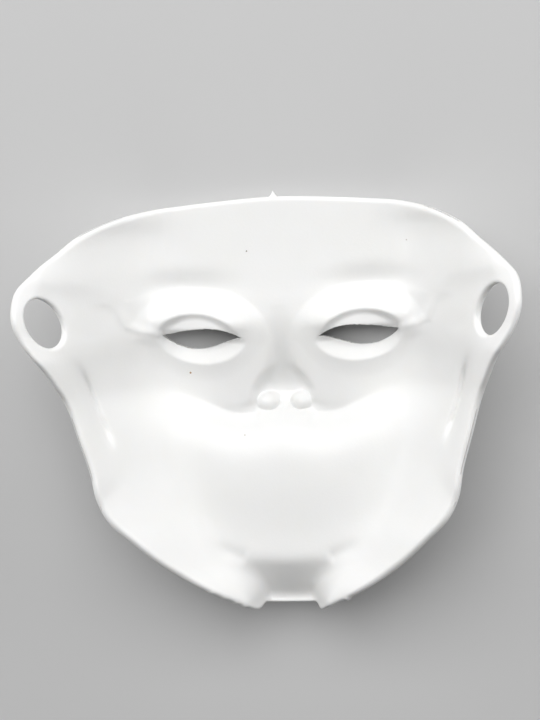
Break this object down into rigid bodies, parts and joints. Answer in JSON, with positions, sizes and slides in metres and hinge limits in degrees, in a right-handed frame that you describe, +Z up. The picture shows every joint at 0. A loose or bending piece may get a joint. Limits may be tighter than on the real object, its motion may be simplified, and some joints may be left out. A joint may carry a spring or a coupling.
{
  "type": "demon mask",
  "caption": "White moulded demon mask shell with slit eyes, a nose hollow, a notched chin and strap holes in flared side tabs, lying hollow side up.",
  "frame": {"origin": "middle of the mask's bounding box, on the surface that it lies on", "axes": "+X across the face from strap tab to strap tab, +Y toward the forehead rim, +Z up out of the hollow side"},
  "size_m": [0.2024, 0.181, 0.0722],
  "materials": {
    "white_plastic": "satin moulded white plastic, slightly translucent at thin edges"
  },
  "bodies": {
    "root": {"mask_shell": "white_plastic"}
  },
  "joints": []
}
